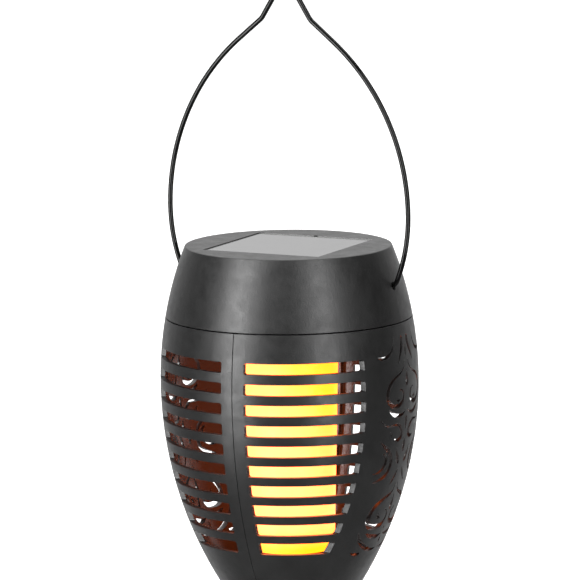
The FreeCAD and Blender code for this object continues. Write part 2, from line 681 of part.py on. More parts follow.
def head_base():
    """The tray: floor, spigot with lugs, tube socket, posts and the holes through it."""
    root_z = TRAY_Z + ROOT
    through = (TRAY_Z - PAST, TRAY_TOP_Z + PAST)
    guard = ring(*BUTTON_GUARD_R, BUTTON_BOTTOM_Z, root_z).translated(Vector(BUTTON_X, 0, 0))
    joined = [post(0, 0, TRAY_R, TRAY_Z, TRAY_TOP_Z),
              ring(SPIGOT_R - SPIGOT_WALL, SPIGOT_R, SPIGOT_BOTTOM_Z, root_z),
              ring(SPIGOT_R - ROOT, SHOULDER_R, COLLAR_TOP_Z + SHOULDER_GAP, root_z),
              ring(TUBE_TOP_R + TUBE_GAP, SOCKET_R, TRAY_Z - SOCKET_DEEP, root_z),
              guard]
    cuts = [post(BUTTON_X, 0, BUTTON_HOLE_R, *through)]
    for i in range(LUG_COUNT):
        start = LUG_FIRST_DEG + i * 360.0 / LUG_COUNT - LUG_WIDTH_DEG / 2
        joined.append(ring(SPIGOT_R - ROOT, LUG_R, *LUG_Z, LUG_WIDTH_DEG, start))
    for x, y in pcb_post_places():
        joined.append(post(x, y, PCB_POST_R, root_z, PCB_Z))
        cuts.append(post(x, y, PCB_HOLE_R, TRAY_TOP_Z + PAST, PCB_Z + PAST))
    for y in (-CORE_SCREW_Y, CORE_SCREW_Y):
        joined.append(post(0, y, CORE_BOSS_R, root_z, CORE_BOSS_TOP_Z))
        cuts.append(post(0, y, SCREW_R, TRAY_Z - PAST, CORE_BOSS_TOP_Z - PAST))
    for angle in BOSS_ANGLES:
        cuts.append(post(*polar(BOSS_CIRCLE_R, angle), SCREW_HOLE_R, *through))
    for side in (-1, 1):
        cuts.append(post(side * led_lead_r(), 0, LEAD_HOLE_R, *through))
    return fuse(joined).cut(cuts)


def pcb_post_places():
    """The corners where the control board stands on posts."""
    xs = (PCB_X[0] + PCB_POST_INSET, PCB_X[1] - PCB_POST_INSET)
    ys = (PCB_Y[0] + PCB_POST_INSET, PCB_Y[1] - PCB_POST_INSET)
    return [(x, y) for x in xs for y in ys]


def board_screws():
    """Two small screws, on opposite corners, driven down into the board's posts."""
    made = []
    slot_half, slot_deep = PCB_SCREW_SLOT
    head_top = PCB_TOP_Z + PCB_SCREW_HEAD_H
    for x, y in (pcb_post_places()[0], pcb_post_places()[3]):
        shank = post(x, y, PCB_HOLE_R, PCB_Z - PCB_SCREW_LENGTH, PCB_TOP_Z + ROOT)
        head = post(x, y, PCB_SCREW_HEAD_R, PCB_TOP_Z, head_top)
        slot = box((x - PCB_SCREW_HEAD_R, x + PCB_SCREW_HEAD_R), (y - slot_half, y + slot_half),
                   (head_top - slot_deep, head_top + PAST))
        made.append(shank.fuse(head).cut(slot).removeSplitter())
    return Part.makeCompound(made)


def control_board():
    """The circuit board, with holes over its posts."""
    holes = [post(x, y, PCB_HOLE_R, PCB_Z - PAST, PCB_TOP_Z + PAST) for x, y in pcb_post_places()]
    return box(PCB_X, PCB_Y, (PCB_Z, PCB_TOP_Z)).cut(holes)


def block_on_board(x, y, half_x, half_y, height):
    """A block that stands on the control board."""
    return box((x - half_x, x + half_x), (y - half_y, y + half_y), (PCB_TOP_Z, PCB_TOP_Z + height))


def board_parts():
    """What is soldered to the top of the board, node by node."""
    long, wide, high = RESISTOR_SIZE
    coil = ring(*COIL_RADII, PCB_TOP_Z, PCB_TOP_Z + COIL_H).translated(Vector(*COIL_AT, 0))
    resistors = [block_on_board(x, y, long / 2, wide / 2, high) for x in RESISTOR_X for y in RESISTOR_Y]
    plug_height = CONNECTOR_TOP_Z - PCB_TOP_Z
    plugs = [block_on_board(CONNECTOR_X, y, *CONNECTOR_HALF, plug_height) for y in CONNECTOR_Y]
    return {"driver_chip": block_on_board(*CHIP_AT, CHIP_HALF, CHIP_HALF, CHIP_H),
            "boost_coil": coil,
            "storage_capacitor": post(*CAN_AT, CAN_R, PCB_TOP_Z, PCB_TOP_Z + CAN_H),
            "chip_resistors": Part.makeCompound(resistors),
            "board_connectors": Part.makeCompound(plugs)}


def power_switch():
    """The switch body under the board, with the bore that takes the button's stem."""
    body = box((BUTTON_X - SWITCH_HALF, BUTTON_X + SWITCH_HALF), (-SWITCH_HALF, SWITCH_HALF),
               (PCB_Z - SWITCH_H, PCB_Z))
    return body.cut(post(BUTTON_X, 0, SWITCH_BORE_R, PCB_Z - SWITCH_H - PAST, PCB_Z - SWITCH_ROOF))


def power_button():
    """The push button: plunger, flange that keeps it in the tray, and stem."""
    plunger = post(BUTTON_X, 0, BUTTON_R, BUTTON_BOTTOM_Z, BUTTON_FLANGE_Z[0])
    low = [e for e in plunger.Edges if abs(e.BoundBox.ZMax - BUTTON_BOTTOM_Z) < TINY]
    plunger = plunger.makeFillet(BUTTON_EDGE_R, low)
    flange = post(BUTTON_X, 0, BUTTON_FLANGE_R, *BUTTON_FLANGE_Z)
    return fuse([plunger, flange, post(BUTTON_X, 0, BUTTON_STEM_R, BUTTON_FLANGE_Z[1], BUTTON_STEM_TOP_Z)])


def battery_holder():
    """An open-topped trough for the cell, with the long sides cut low in the middle."""
    outer = box(HOLDER_X, HOLDER_Y, (TRAY_TOP_Z, HOLDER_TOP_Z))
    inner = box((HOLDER_X[0] + HOLDER_SIDE, HOLDER_X[1] - HOLDER_SIDE),
                (HOLDER_Y[0] + HOLDER_END, HOLDER_Y[1] - HOLDER_END), (HOLDER_FLOOR_Z, HOLDER_TOP_Z + PAST))
    relief_z = HOLDER_TOP_Z + HOLDER_RELIEF_UP
    relief = rod_x(HOLDER_X[0] - PAST, HOLDER_X[1] + PAST, 0, relief_z, HOLDER_RELIEF_R)
    return outer.cut([inner, relief])


def battery_cell():
    """The cell with its raised positive end."""
    can = rod_y(*CELL_Y, *CELL_AXIS, CELL_R)
    can = can.makeFillet(CELL_EDGE_R, [e for e in can.Edges if e.BoundBox.YLength < TINY])
    return can.fuse(rod_y(CELL_Y[1] - ROOT, CELL_Y[1] + NUB_H, *CELL_AXIS, NUB_R)).removeSplitter()


def battery_contacts():
    """The flat positive plate, and the negative plate with its conical spring."""
    x, z = CELL_AXIS
    x_span = (x - CONTACT_HALF, x + CONTACT_HALF)
    z_span = (HOLDER_FLOOR_Z, HOLDER_TOP_Z + CONTACT_UP)
    nub_y = CELL_Y[1] + NUB_H
    back = HOLDER_Y[0] + HOLDER_END
    plus = box(x_span, (nub_y, nub_y + CONTACT_THICK), z_span)
    minus = box(x_span, (back, back + CONTACT_THICK), z_span)
    section = Part.Wire(Part.makeCircle(SPRING_WIRE_R, Vector(SPRING_R, 0, 0), Vector(0, 1, 0)))
    helix = Part.makeHelix(SPRING_PITCH, SPRING_LENGTH, SPRING_R, SPRING_TAPER_DEG)
    spring = helix.makePipeShell([section], True, True)
    spring.rotate(ORIGIN, Vector(1, 0, 0), -90.0)
    spring.translate(Vector(x, back + SPRING_START, z))
    return plus, minus.fuse(spring)


def lead_routes():
    """The leads' routes, by node name."""
    panel_z = POCKET_FLOOR_Z + GASKET_THICK
    top = CONNECTOR_TOP_Z
    x = CELL_AXIS[0]
    low_y, mid_y, high_y = CONNECTOR_Y
    p = PIN_HALF_PITCH
    r = led_lead_r()
    plus_y = CELL_Y[1] + NUB_H + CONTACT_THICK / 2
    minus_y = HOLDER_Y[0] + HOLDER_END + CONTACT_THICK / 2
    lift = HOLDER_TOP_Z + CONTACT_UP
    return {
        "panel_lead_red": [(-6, 3, panel_z), (-6, 3, 161), (-14, 8, 158.5), (CONNECTOR_X, high_y + p, 160),
                           (CONNECTOR_X, high_y + p, top)],
        "panel_lead_black": [(-6, 0, panel_z), (-6, 0, 160), (-14, 5, 157), (CONNECTOR_X, high_y - p, 158),
                             (CONNECTOR_X, high_y - p, top)],
        "battery_lead_red": [(x, plus_y, lift), (x, plus_y, 157), (18, 20, 160), (6, 4, 160.5), (-2, -9, 160),
                             (-12, -11, 159.5), (CONNECTOR_X, low_y + p, 159), (CONNECTOR_X, low_y + p, top)],
        "battery_lead_black": [(x, minus_y, lift), (x, minus_y, 157), (18, -24, 160), (2, -20, 160),
                               (-12, -15, 158), (CONNECTOR_X, low_y - p, 158), (CONNECTOR_X, low_y - p, top)],
        "led_lead_red": [(r, 0, LED_LEAD_Z), (r, 0, 148), (5, 2, 152.5), (-8, 2.5, 154.5),
                         (CONNECTOR_X, mid_y + p, 155.5), (CONNECTOR_X, mid_y + p, top)],
        "led_lead_black": [(-r, 0, LED_LEAD_Z), (-r, 0, 147), (-15, -1.5, 154.5),
                           (CONNECTOR_X, mid_y - p, 157), (CONNECTOR_X, mid_y - p, top)],
    }


def led_lead_r():
    """How far from the axis the leads of the LED column run, against the flexible board."""
    return CORE_R + FLEX_THICK + LEAD_R


def make_head():
    """The nodes of the head body."""
    export("cap_shell", cap_shell())
    make_panel()
    export("head_base", head_base())
    export("head_seal", ring(*SEAL_R, TRAY_TOP_Z, TRAY_TOP_Z + SEAL_THICK))
    screws = [screw(*polar(BOSS_CIRCLE_R, angle), TRAY_Z, HEAD_SCREW_LENGTH) for angle in BOSS_ANGLES]
    export("head_screws", Part.makeCompound(screws))
    export("control_board", control_board())
    for name, shape in board_parts().items():
        export(name, shape)
    export("board_screws", board_screws())
    export("power_switch", power_switch())
    export("power_button", power_button())
    export("battery_holder", battery_holder())
    export("battery_cell", battery_cell())
    plus, minus = battery_contacts()
    export("battery_contact_plus", plus)
    export("battery_contact_spring", minus)
    for name, route in lead_routes().items():
        export(name, swept(rounded_route(route), LEAD_R))


# ---- the flame tube ----

def led_core():
    """The hollow column that carries the LEDs, hung from the tray by its flange."""
    flange_z = TRAY_Z - CORE_FLANGE_THICK
    through = (flange_z - PAST, TRAY_Z + PAST)
    core = fuse([ring(CORE_BORE_R, CORE_R, CORE_BOTTOM_Z, TRAY_Z - ROOT),
                 ring(CORE_BORE_R, CORE_FLANGE_R, flange_z, TRAY_Z)])
    cuts = [post(0, y, SCREW_HOLE_R, *through) for y in (-CORE_SCREW_Y, CORE_SCREW_Y)]
    cuts += [post(side * led_lead_r(), 0, LEAD_HOLE_R, *through) for side in (-1, 1)]
    return core.cut(cuts)


def flame_leds():
    """The LED chips, in rows round the column, each column turned half a step from the leads."""
    deep, wide, high = LED_SIZE
    inner = CORE_R + FLEX_THICK
    chips = []
    for row in range(LED_ROWS):
        z = LED_FIRST_Z + row * LED_PITCH
        for column in range(LED_COLUMNS):
            chip = box((inner - LED_SUNK, inner + deep), (-wide / 2, wide / 2), (z, z + high))
            chip = chip.cut(post(0, 0, inner, z - PAST, z + high + PAST))
            chip.rotate(ORIGIN, Z_AXIS, (column + 0.5) * 360.0 / LED_COLUMNS)
            chips.append(chip)
    return Part.makeCompound(chips)


def flame_tube():
    """The conical diffuser tube, open at both ends."""
    return turned([(TUBE_BOTTOM_R - TUBE_WALL, TUBE_BOTTOM_Z), (TUBE_BOTTOM_R, TUBE_BOTTOM_Z),
                   (TUBE_TOP_R, TUBE_TOP_Z), (TUBE_TOP_R - TUBE_WALL, TUBE_TOP_Z)])


def tube_end_cap():
    """The plug under the tube, with a peg that steadies the LED column."""
    rim_r = TUBE_BOTTOM_R - TUBE_WALL - TUBE_GAP
    root_z = TUBE_BOTTOM_Z - ROOT
    return fuse([post(0, 0, TUBE_BOTTOM_R, TUBE_BOTTOM_Z - END_CAP_THICK, TUBE_BOTTOM_Z),
                 ring(rim_r - END_CAP_RIM_WIDTH, rim_r, root_z, TUBE_BOTTOM_Z + END_CAP_RIM_H),
                 post(0, 0, CORE_BORE_R - END_CAP_PEG_GAP, root_z, CORE_BOTTOM_Z + END_CAP_PEG_H)])


def make_flame():
    """The nodes of the flame tube, which belong to the head body."""
    flange_z = TRAY_Z - CORE_FLANGE_THICK
    screws = [screw(0, y, flange_z, CORE_SCREW_LENGTH) for y in (-CORE_SCREW_Y, CORE_SCREW_Y)]
    export("led_core", led_core())
    export("core_screws", Part.makeCompound(screws))
    export("led_flex_board", ring(CORE_R, CORE_R + FLEX_THICK, *FLEX_Z))
    export("flame_leds", flame_leds())
    export("flame_tube", flame_tube())
    export("tube_end_cap", tube_end_cap())


# ---- the bail ----

def fillet_between(corner, toward_a, toward_b, radius):
    """The arc of that radius tangent to two lines that leave a corner, as start, middle and end."""
    a, b = Vector(toward_a).normalize(), Vector(toward_b).normalize()
    half_angle = a.getAngle(b) / 2
    reach = radius / math.tan(half_angle)
    bisector = (a + b).normalize()
    middle = corner + bisector * (radius / math.sin(half_angle) - radius)
    return corner + a * reach, middle, corner + b * reach


def bail_side():
    """The edges of the bail's +X side, from the tail inside the cap up to the peak."""
    leg_centre = Vector(BAIL_WIDE_X - BAIL_LEG_ARC_R, 0, BAIL_WIDE_Z)
    side_centre = Vector(BAIL_WIDE_X - BAIL_SIDE_ARC_R, 0, BAIL_WIDE_Z)

    def on_arc(centre, radius, z):
        return Vector(centre.x + math.sqrt(radius ** 2 - (z - centre.z) ** 2), 0, z)

    def tangent(centre, point):
        ray = point - centre
        return Vector(-ray.z, 0, ray.x).normalize()

    leg_start = on_arc(leg_centre, BAIL_LEG_ARC_R, PIVOT_Z + BAIL_ELBOW_RUN)
    leg_way = tangent(leg_centre, leg_start)
    elbow_corner = leg_start - leg_way * (BAIL_ELBOW_RUN / leg_way.z)
    elbow = fillet_between(elbow_corner, leg_way, Vector(-1, 0, 0), BAIL_ELBOW_R)
    tail_corner = Vector(BAIL_TAIL_X, 0, PIVOT_Z)
    tail = fillet_between(tail_corner, Vector(1, 0, 0), Vector(0, 0, 1), BAIL_TAIL_R)
    tail_end = Vector(BAIL_TAIL_X, 0, PIVOT_Z + BAIL_TAIL_TOP)

    shoulder_start = on_arc(side_centre, BAIL_SIDE_ARC_R, BAIL_SHOULDER_Z - BAIL_SHOULDER_RUN)
    way_in = tangent(side_centre, shoulder_start)
    shoulder_corner = shoulder_start + way_in * (BAIL_SHOULDER_RUN / way_in.z)
    slope = math.radians(BAIL_PEAK_SLOPE_DEG)
    way_up = Vector(-math.cos(slope), 0, math.sin(slope))
    shoulder = fillet_between(shoulder_corner, way_in * -1, way_up, BAIL_SHOULDER_R)
    peak_z = shoulder_corner.z + shoulder_corner.x * math.tan(slope)
    peak_top = Vector(0, 0, peak_z - BAIL_PEAK_R * (1 / math.cos(slope) - 1))
    peak = fillet_between(Vector(0, 0, peak_z), way_up * -1, Vector(way_up.x, 0, -way_up.z), BAIL_PEAK_R)
    half_peak = Vector(BAIL_PEAK_R * math.sin(slope / 2), 0,
                       peak_top.z - BAIL_PEAK_R * (1 - math.cos(slope / 2)))

    wide = Vector(BAIL_WIDE_X, 0, BAIL_WIDE_Z)
    leg_middle = on_arc(leg_centre, BAIL_LEG_ARC_R, (leg_start.z + BAIL_WIDE_Z) / 2)
    side_middle = on_arc(side_centre, BAIL_SIDE_ARC_R, (shoulder_start.z + BAIL_WIDE_Z) / 2)
    return [
        Part.makeLine(tail_end, tail[2]),
        Part.Arc(tail[2], tail[1], tail[0]).toShape(),
        Part.makeLine(tail[0], elbow[2]),
        Part.Arc(elbow[2], elbow[1], elbow[0]).toShape(),
        Part.makeLine(elbow[0], leg_start),
        Part.Arc(leg_start, leg_middle, wide).toShape(),
        Part.Arc(wide, side_middle, shoulder_start).toShape(),
        Part.makeLine(shoulder_start, shoulder[0]),
        Part.Arc(*shoulder).toShape(),
        Part.makeLine(shoulder[2], peak[0]),
        Part.Arc(peak[0], half_peak, peak_top).toShape(),
    ]


def bail_wire():
    """The whole bail: one side swept and its mirror image, joined at the peak."""
    side = swept(Part.Wire(bail_side()), WIRE_R)
    return side.fuse(side.mirror(ORIGIN, Vector(1, 0, 0))).removeSplitter()


os.makedirs("parts", exist_ok=True)
make_cage()
make_head()
make_flame()
export("bail_wire", bail_wire())
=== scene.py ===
import json
import math

import bpy
from mathutils import Matrix, Vector


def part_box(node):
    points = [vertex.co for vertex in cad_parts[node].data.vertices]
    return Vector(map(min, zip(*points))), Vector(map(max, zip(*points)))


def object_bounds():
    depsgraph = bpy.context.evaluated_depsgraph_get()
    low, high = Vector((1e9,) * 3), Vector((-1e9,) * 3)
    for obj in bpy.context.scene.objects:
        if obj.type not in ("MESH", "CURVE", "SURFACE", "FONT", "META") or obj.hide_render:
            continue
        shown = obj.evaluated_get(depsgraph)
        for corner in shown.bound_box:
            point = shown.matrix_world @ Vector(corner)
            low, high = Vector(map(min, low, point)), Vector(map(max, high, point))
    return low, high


# Dresses the solar garden lantern's CAD nodes, then sets the stage, the lights and the camera.

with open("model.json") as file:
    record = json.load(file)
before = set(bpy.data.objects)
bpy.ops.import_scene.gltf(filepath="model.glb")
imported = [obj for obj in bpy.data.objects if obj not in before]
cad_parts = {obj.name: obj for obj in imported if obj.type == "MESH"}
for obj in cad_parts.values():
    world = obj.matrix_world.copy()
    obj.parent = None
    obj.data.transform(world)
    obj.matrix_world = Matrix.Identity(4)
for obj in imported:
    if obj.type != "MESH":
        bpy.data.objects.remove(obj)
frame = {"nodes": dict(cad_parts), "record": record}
cad_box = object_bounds()

NODES = frame["nodes"]

# Camera: a long lens, slightly above the lantern and round towards its +X side. Lengths are in
# metres and angles in degrees; FRAME_HEIGHT is what the picture spans at the lantern.
CAMERA_AZIMUTH = 26.0
CAMERA_ELEVATION = 9.0
CAMERA_DISTANCE = 2.4
CAMERA_ROLL = -0.59
FRAME_HEIGHT = 0.2754
AIM_HEIGHT = 0.1478
AIM_RIGHT = 0.0006
SENSOR = 36.0
CLIP_END = 100.0

# The flame's colours, from its root to its tip. The light is orange-red and so strong that the
# tube itself looks yellow, while what it shines on looks red.
FLAME_PALE = (1.0, 0.155, 0.038, 1)
FLAME_CREAM = (1.0, 0.145, 0.022, 1)
FLAME_YELLOW = (1.0, 0.150, 0.002, 1)
FLAME_AMBER = (1.0, 0.135, 0.0015, 1)
FLAME_STRENGTH = 6.0

# The flame's shape, as a value that is 0 in its middle: how fast it grows per metre upwards and
# from the tube's axis to its wall, the direction it leans in, how much it flickers, the range
# that the colours are spread over, and the band at the tube's foot that stays yellow
FLAME_MIDDLE_Z = 0.080
FLAME_PER_METRE = 16.0
FLAME_TO_WALL = 0.45
FLAME_LEAN = math.radians(26.0)
FLAME_FLICKER = 0.18
FLAME_RANGE = (-0.5, 1.1)
FLAME_FOOT = (0.002, 0.012)

# The spark texture of moulded plastic: cycles per metre and depth in metres
SPARK_SCALE = 1500.0
SPARK_DEPTH = 0.00005

# Inside the barrel the black plastic is painted a little paler: painted light, standing in for the
# flame's glow
# # on the inner faces. A face counts as inside by its distance from the axis times how far it looks
# outwards,
# # in metres: the lift makes faces that look straight up count as outside.
INNER_PAINTED_LIGHT_GREY = 0.032
OUTWARD_LIFT = 0.02
OUTWARD_EDGE = (0.004, 0.012)

# The room as light: its strength in front of the lantern and behind it, and the floor's. The turns
# are where one passes into the other, along the line of sight and down from the horizon.
ROOM_DIM = 0.02
ROOM_BRIGHT = 0.85
ROOM_TURN = (0.25, 0.95)
FLOOR_SHINE = 0.25
FLOOR_TURN = (-0.7, -0.1)

# The floor that the camera sees: its size, and its own glow
FLOOR_SIZE = 40.0
FLOOR_GLOW = 0.45

# Soft boxes: name, azimuth from the camera's, elevation, distance, width and height, watts
SOFTBOXES = (
    ("key", -50.0, 12.0, 1.6, (0.58, 2.2), 56.0),
    ("fill", 33.0, 12.0, 1.6, (0.44, 2.2), 29.0),
    ("overhead", 180.0, 75.0, 2.6, (4.0, 4.0), 120.0),
)

# Most of a noise texture's values lie between these two
NOISE_LOW = 0.3
NOISE_HIGH = 0.7

# The mix node's two inputs and its output, by what it mixes
MIX_SOCKETS = {"FLOAT": (2, 3, 0), "RGBA": (6, 7, 2)}


# ---- node helpers ----

def start_material(name):
    """A new node material with a Principled shader; returns the material, its tree and the shader."""
    made = bpy.data.materials.new(name)
    made.use_nodes = True
    tree = made.node_tree
    return made, tree, tree.nodes["Principled BSDF"]


def add(tree, kind, **sockets):
    """A node of that kind with its input sockets set by name."""
    node = tree.nodes.new(kind)
    for key, value in sockets.items():
        node.inputs[key].default_value = value
    return node


def feed(tree, source, socket):
    """Gives a socket its source, which is a fixed value or another node's output."""
    if isinstance(source, bpy.types.NodeSocket):
        tree.links.new(source, socket)
    else:
        socket.default_value = source


def noise(tree, scale, detail=3.0, roughness=0.5, stretch=(1, 1, 1)):
    """A noise texture in the object's own space, in cycles per metre; returns its Fac output."""
    place = tree.nodes.new("ShaderNodeTexCoord")
    squeeze = add(tree, "ShaderNodeMapping", Scale=stretch)
    tree.links.new(place.outputs["Object"], squeeze.inputs["Vector"])
    texture = add(tree, "ShaderNodeTexNoise", Scale=scale, Detail=detail, Roughness=roughness)
    tree.links.new(squeeze.outputs["Vector"], texture.inputs["Vector"])
    return texture.outputs["Fac"]


def ramp(tree, source, stops):
    """A colour ramp driven by source; stops are (position, colour)."""
    node = tree.nodes.new("ShaderNodeValToRGB")
    elements = node.color_ramp.elements
    while len(elements) < len(stops):
        elements.new(0.5)
    for element, (position, colour) in zip(elements, stops):
        element.position = position
        element.color = colour
    tree.links.new(source, node.inputs["Fac"])
    return node.outputs["Color"]


def two_tone(tree, source, dark, light):
    """A colour that passes from dark to light as the noise in source rises."""
    return ramp(tree, source, [(NOISE_LOW, dark), (NOISE_HIGH, light)])


def spread(tree, source, low, high, start=NOISE_LOW, end=NOISE_HIGH):
    """source, mapped from start..end to low..high."""
    node = add(tree, "ShaderNodeMapRange")
    node.inputs["From Min"].default_value = start
    node.inputs["From Max"].default_value = end
    node.inputs["To Min"].default_value = low
    node.inputs["To Max"].default_value = high
    tree.links.new(source, node.inputs["Value"])
    return node.outputs["Result"]


def added(tree, first, second):
    """The sum of two sources."""
    node = tree.nodes.new("ShaderNodeMath")
    node.operation = "ADD"
    feed(tree, first, node.inputs[0])
    feed(tree, second, node.inputs[1])
    return node.outputs["Value"]


def dotted(tree, first, second):
    """The dot product of two sources."""
    node = tree.nodes.new("ShaderNodeVectorMath")
    node.operation = "DOT_PRODUCT"
    feed(tree, first, node.inputs[0])
    feed(tree, second, node.inputs[1])
    return node.outputs["Value"]


def height_of(tree, vector):
    """The Z part of a vector output."""
    parts = tree.nodes.new("ShaderNodeSeparateXYZ")
    tree.links.new(vector, parts.inputs[0])
    return parts.outputs["Z"]


def blended(tree, kind, share, first, second):
    """A mix from the source first to the source second, by share; kind is FLOAT or RGBA."""
    node = tree.nodes.new("ShaderNodeMix")
    node.data_type = kind
    low, high, out = MIX_SOCKETS[kind]
    tree.links.new(share, node.inputs[0])
    feed(tree, first, node.inputs[low])
    feed(tree, second, node.inputs[high])
    return node.outputs[out]


def grain(tree, shader, source, depth, edge_radius=0.0):
    """Bump from source, as deep as depth in metres, over edges eased to edge_radius."""
    node = add(tree, "ShaderNodeBump", Strength=1.0, Distance=depth)
    tree.links.new(source, node.inputs["Height"])
    if edge_radius:
        eased = add(tree, "ShaderNodeBevel", Radius=edge_radius)
        eased.samples = 4
        tree.links.new(eased.outputs["Normal"], node.inputs["Normal"])
    tree.links.new(node.outputs["Normal"], shader.inputs["Normal"])


def grey(value):
    """A grey of that strength, as a colour."""
    return (value, value, value, 1)


# ---- materials ----

def facing_out(tree):
    """How far a surface faces away from the lantern's axis: 0 inside the barrel and 1 outside."""
    place = tree.nodes.new("ShaderNodeTexCoord")
    from_axis = add(tree, "ShaderNodeMapping", Location=(0, 0, OUTWARD_LIFT), Scale=(1, 1, 0))
    tree.links.new(place.outputs["Object"], from_axis.inputs["Vector"])
    outward = dotted(tree, from_axis.outputs["Vector"], place.outputs["Normal"])
    start, end = OUTWARD_EDGE
    return spread(tree, outward, 0.0, 1.0, start=start, end=end)


def moulded_plastic(name, dark, light, rough, texture_scale=SPARK_SCALE, texture_depth=SPARK_DEPTH,
                    edge=0.0, inside=None):
    """Satin moulded plastic: faint colour clouding, uneven gloss and a fine spark texture. Edges
    are eased to the radius edge, and inside is the roughness of the barrel's inner faces, which
    are also painted a paler grey as painted light from the flame."""
    made, tree, shader = start_material(name)
    cloud = noise(tree, scale=55.0, detail=4.0, roughness=0.6)
    handling = noise(tree, scale=140.0, detail=6.0, roughness=0.8)
    gloss = spread(tree, handling, low=rough - 0.08, high=rough + 0.09)
    colour = ramp(tree, cloud, [(0.35, dark), (0.7, light)])
    if inside:
        outside = facing_out(tree)
        gloss = blended(tree, "FLOAT", outside, inside, gloss)
        # Inner faces take a paler grey: painted light, standing in for the flame's glow on the inside
        # of the barrel.
        colour = blended(tree, "RGBA", outside, grey(INNER_PAINTED_LIGHT_GREY), colour)
    tree.links.new(gloss, shader.inputs["Roughness"])
    tree.links.new(colour, shader.inputs["Base Color"])
    grain(tree, shader, noise(tree, texture_scale, detail=2.0), texture_depth, edge)
    return made


def coated_wire():
    """Black semi-gloss coating with a slight orange-peel and worn spots."""
    made, tree, shader = start_material("coated_wire")
    wear = noise(tree, scale=900.0, detail=6.0, roughness=0.7)
    coat_and_worn = [(0.66, grey(0.002)), (0.78, grey(0.016))]
    tree.links.new(ramp(tree, wear, coat_and_worn), shader.inputs["Base Color"])
    gloss = spread(tree, noise(tree, scale=300.0), low=0.06, high=0.11)
    tree.links.new(gloss, shader.inputs["Roughness"])
    grain(tree, shader, noise(tree, scale=1500.0, detail=2.0), depth=0.000004)
    shader.inputs["Specular IOR Level"].default_value = 0.25
    return made


def flame_colours(tree, place, tube_foot, tube_radius):
    """The flame on the tube's wall: paler low down, leaning over on top, yellow at the foot."""
    across = FLAME_TO_WALL / tube_radius
    lean = (across * math.cos(FLAME_LEAN), across * math.sin(FLAME_LEAN), FLAME_PER_METRE)
    climb = dotted(tree, place.outputs["Object"], lean)
    centred = added(tree, climb, -FLAME_PER_METRE * FLAME_MIDDLE_Z)
    licks = noise(tree, scale=45.0, detail=2.5, stretch=(1.0, 1.0, 0.5))
    flicker = spread(tree, licks, low=-FLAME_FLICKER, high=FLAME_FLICKER)
    start, end = FLAME_RANGE
    burn = spread(tree, added(tree, centred, flicker), 0.0, 1.0, start=start, end=end)
    stops = [(0.20, FLAME_PALE), (0.48, FLAME_CREAM), (0.74, FLAME_YELLOW), (1.0, FLAME_AMBER)]
    height = height_of(tree, place.outputs["Object"])
    start, end = (tube_foot + rise for rise in FLAME_FOOT)
    above_foot = spread(tree, height, 0.0, 1.0, start=start, end=end)
    return blended(tree, "RGBA", above_foot, FLAME_YELLOW, ramp(tree, burn, stops))


def lit_diffuser():
    """The flame tube: a milky wall lit from inside."""
    made, tree, shader = start_material("lit_diffuser")
    low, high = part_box("flame_tube")
    place = tree.nodes.new("ShaderNodeTexCoord")
    colours = flame_colours(tree, place, tube_foot=low[2], tube_radius=high[0])
    tree.links.new(colours, shader.inputs["Emission Color"])
    shader.inputs["Emission Strength"].default_value = FLAME_STRENGTH
    milk = two_tone(tree, noise(tree, scale=60.0), (0.30, 0.25, 0.12, 1), (0.36, 0.31, 0.16, 1))
    tree.links.new(milk, shader.inputs["Base Color"])
    gloss = spread(tree, noise(tree, scale=400.0), low=0.45, high=0.6)
    tree.links.new(gloss, shader.inputs["Roughness"])
    grain(tree, shader, noise(tree, scale=1800.0), depth=0.00002)
    return made


def lit_led():
    """An LED's yellow resin lens, lit."""
    made, tree, shader = start_material("lit_led")
    glow = two_tone(tree, noise(tree, scale=500.0), (1, 0.5, 0.08, 1), (1, 0.75, 0.3, 1))
    tree.links.new(glow, shader.inputs["Base Color"])
    tree.links.new(glow, shader.inputs["Emission Color"])
    shader.inputs["Emission Strength"].default_value = 2.0
    gloss = spread(tree, noise(tree, scale=700.0), low=0.2, high=0.35)
    tree.links.new(gloss, shader.inputs["Roughness"])
    return made


def circuit_board(name, dark, light):
    """Solder mask over copper, with the tracks showing as a faint square pattern."""
    made, tree, shader = start_material(name)
    place = tree.nodes.new("ShaderNodeTexCoord")
    tracks = add(tree, "ShaderNodeTexBrick", Scale=260.0, Color1=dark, Color2=dark, Mortar=light)
    tracks.inputs["Mortar Size"].default_value = 0.03
    tree.links.new(place.outputs["Object"], tracks.inputs["Vector"])
    tree.links.new(tracks.outputs["Color"], shader.inputs["Base Color"])
    gloss = spread(tree, noise(tree, scale=200.0), low=0.3, high=0.42)
    tree.links.new(gloss, shader.inputs["Roughness"])
    grain(tree, shader, tracks.outputs["Fac"], depth=0.00003)
    return made


def silicon():
    """A crystalline solar cell: large grains of slightly different blue-black, under a coating."""
    made, tree, shader = start_material("silicon")
    place = tree.nodes.new("ShaderNodeTexCoord")
    crystals = add(tree, "ShaderNodeTexVoronoi", Scale=190.0)
    tree.links.new(place.outputs["Object"], crystals.inputs["Vector"])
    blues = [(0.1, (0.05, 0.055, 0.075, 1)), (0.8, (0.09, 0.1, 0.13, 1))]
    tint = ramp(tree, crystals.outputs["Distance"], blues)
    tree.links.new(tint, shader.inputs["Base Color"])
    gloss = spread(tree, noise(tree, scale=240.0), low=0.28, high=0.4)
    tree.links.new(gloss, shader.inputs["Roughness"])
    shader.inputs["Coat Weight"].default_value = 0.6
    return made


